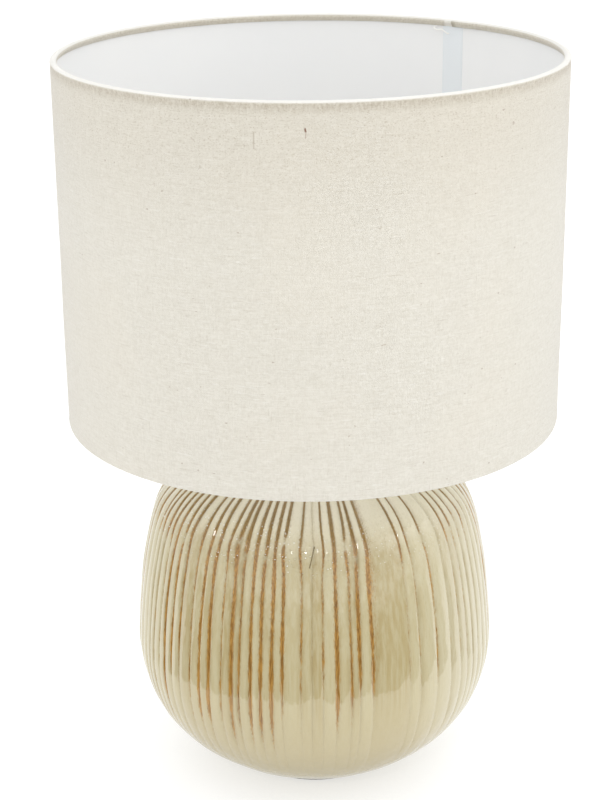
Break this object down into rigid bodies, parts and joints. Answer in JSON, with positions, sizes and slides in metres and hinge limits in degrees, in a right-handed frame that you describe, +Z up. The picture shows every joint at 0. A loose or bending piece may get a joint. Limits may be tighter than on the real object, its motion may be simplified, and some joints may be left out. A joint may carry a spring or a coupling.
{
  "type": "table lamp with shade",
  "caption": "Table lamp with a ribbed glazed ceramic gourd base, a brass neck, a screw lampholder, a candle bulb and a straight linen drum shade on a wire carrier.",
  "frame": {"origin": "on the table, at the lamp's vertical axis, at the bottom of the foot pad", "axes": "+Z up along the lamp's axis, -Y towards the viewer, +Y to the cable outlet at the back, +X to the viewer's right"},
  "size_m": [0.3, 0.3, 0.4519],
  "materials": {
    "felt": "matte felt",
    "glaze": "glossy reactive celadon glaze, amber-brown where it breaks in the grooves",
    "rubber": "matte",
    "zinc_steel": "zinc plated",
    "brass": "satin",
    "contact_brass": "bright pressed sheet",
    "holder_plastic": "moulded, satin",
    "switch_plastic": "moulded, gloss",
    "porcelain": "smooth",
    "linen": "slubby plain weave",
    "liner": "smooth laminate sheet",
    "painted_wire": "white powder coat",
    "nickel": "nickel plated",
    "black_glass": "opaque black",
    "bulb_plastic": "satin",
    "opal_plastic": "opal diffuser"
  },
  "bodies": {
    "base": {"foot_pad": "felt", "ceramic_body": "glaze", "cable_grommet": "rubber", "threaded_tube": "zinc_steel", "inner_rubber_washer": "rubber", "inner_steel_washer": "zinc_steel", "inner_hex_nut": "brass", "crown_cap": "brass", "neck_sleeve": "brass", "holder_cap": "holder_plastic", "holder_grub_screw": "zinc_steel", "switch_housing": "porcelain", "terminal_live": "contact_brass", "terminal_neutral": "contact_brass", "terminal_screw_live": "zinc_steel", "terminal_screw_neutral": "zinc_steel", "contact_carrier": "porcelain", "screw_shell": "contact_brass", "holder_skirt": "holder_plastic"},
    "contact_leaf": {"centre_contact": "contact_brass"},
    "switch": {"switch_bar": "switch_plastic"},
    "ring": {"shade_ring": "holder_plastic"},
    "shade": {"shade_fabric": "linen", "shade_liner": "liner", "liner_seam_strip": "liner", "top_wire_ring": "painted_wire", "bottom_wire_ring": "painted_wire", "carrier_ring": "painted_wire", "carrier_arm_1": "painted_wire", "carrier_arm_2": "painted_wire", "carrier_arm_3": "painted_wire"},
    "bulb": {"bulb_tip_contact": "nickel", "bulb_insulator": "black_glass", "bulb_screw_cap": "nickel", "bulb_housing": "bulb_plastic", "bulb_led_plate": "zinc_steel", "bulb_globe": "opal_plastic"}
  },
  "joints": [
    {"name": "shade_lift", "type": "slide", "parent": "base", "child": "ring", "axis": [0, 0, 1], "range_m": [0, 0.17]},
    {"name": "shade_swivel", "type": "hinge", "parent": "ring", "child": "shade", "pos_m": [0, 0, 0.2737], "axis": [0, 0, 1], "continuous": true},
    {"name": "bulb_lift", "type": "slide", "parent": "base", "child": "bulb", "axis": [0, 0, 1], "range_m": [0, 0.2]},
    {"name": "switch_push", "type": "slide", "parent": "base", "child": "switch", "axis": [1, 0, 0], "range_m": [0, 0.005]},
    {"name": "contact_flex", "type": "hinge", "parent": "base", "child": "contact_leaf", "pos_m": [-0.009, 0, 0.27355], "axis": [0, 1, 0], "range_deg": [0, 8], "stiffness_Nm_per_rad": 0.05, "springref_deg": -11.46}
  ]
}
